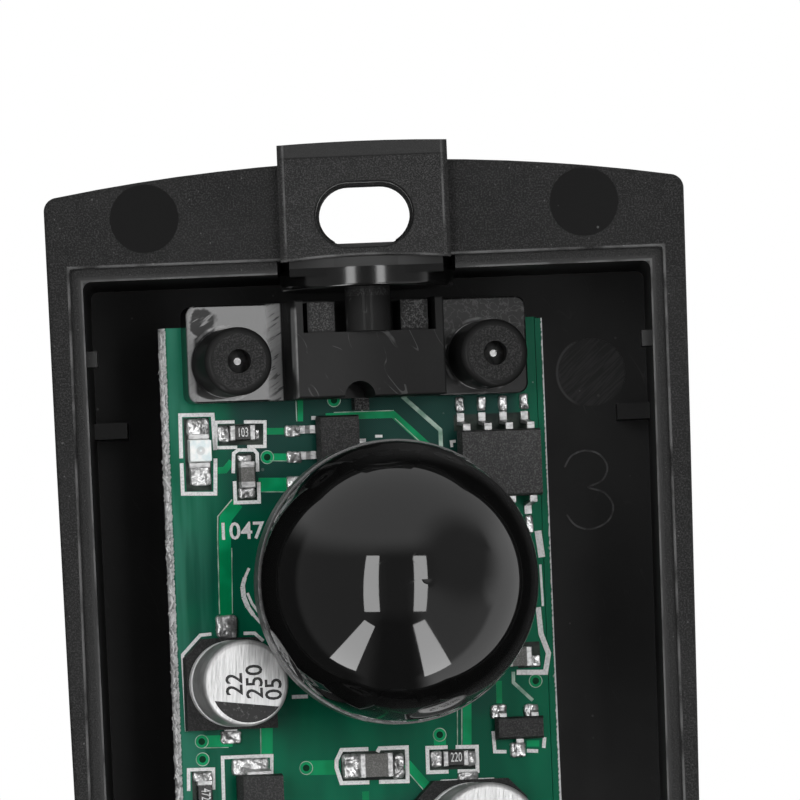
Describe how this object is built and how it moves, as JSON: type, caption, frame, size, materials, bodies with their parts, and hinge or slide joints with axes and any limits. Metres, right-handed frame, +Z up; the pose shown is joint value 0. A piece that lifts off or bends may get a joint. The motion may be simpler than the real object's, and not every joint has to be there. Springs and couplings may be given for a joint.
{
  "type": "infrared motion sensor",
  "caption": "Flush-mounted infrared motion sensor without its front cover: a black flanged tub with a swivelling head that carries a green board and a black domed lens.",
  "frame": {"origin": "on the wall plane (the back of the flange), on the swivel centre line and halfway up the flange", "axes": "+Z up, -Y out of the wall towards the front, +X to the right of someone who faces the front"},
  "size_m": [0.0366, 0.027, 0.0642],
  "materials": {
    "housing_plastic": "fine spark-eroded texture on the outside, smooth inside",
    "bracket_plastic": "fine texture with a smooth bearing disc",
    "carrier_plastic": "smooth moulded plastic with matt boss ends",
    "holder_plastic": "plain moulded",
    "lens_black": "polished",
    "board_green": "solder mask with light traces and white print",
    "package_plastic": "fine moulding compound",
    "resistor_black": "glazed",
    "ceramic_grey": "plain ceramic",
    "tinned_metal": "tinned",
    "screw_steel": "plated",
    "can_aluminium": "brushed end with a printed black segment",
    "can_base_black": "plain moulded",
    "indicator_white": "plain",
    "indicator_clear": "milky",
    "emitter_clear": "tinted clear",
    "terminal_plastic": "plain moulded"
  },
  "bodies": {
    "housing": {"rear_housing": "housing_plastic", "top_bearing_bracket": "bracket_plastic", "bottom_bearing_bracket": "bracket_plastic"},
    "sensor_head": {"upper_carrier": "carrier_plastic", "lower_carrier": "carrier_plastic", "circuit_board": "board_green", "board_screws": "screw_steel", "lens_holder": "holder_plastic", "lens": "lens_black", "ir_emitter": "emitter_clear", "emitter_leads": "tinned_metal", "indicator_base": "indicator_white", "indicator_window": "indicator_clear", "amplifier_chip": "package_plastic", "amplifier_leads": "tinned_metal", "voltage_regulator": "package_plastic", "regulator_leads": "tinned_metal", "transistor": "package_plastic", "transistor_leads": "tinned_metal", "protection_diode": "package_plastic", "diode_leads": "tinned_metal", "small_capacitor_base": "can_base_black", "small_capacitor_can": "can_aluminium", "large_capacitor_base": "can_base_black", "large_capacitor_can": "can_aluminium", "capacitor_terminals": "tinned_metal", "chip_resistors": "resistor_black", "chip_capacitors": "ceramic_grey", "chip_end_caps": "tinned_metal", "terminal_block": "terminal_plastic", "terminal_clamps": "tinned_metal", "terminal_screws": "screw_steel", "terminal_pins": "tinned_metal"}
  },
  "joints": [
    {"name": "head_swivel", "type": "hinge", "parent": "housing", "child": "sensor_head", "pos_m": [0, 0.0015, 0], "axis": [0, 0, 1], "range_deg": [-40, 16]}
  ]
}
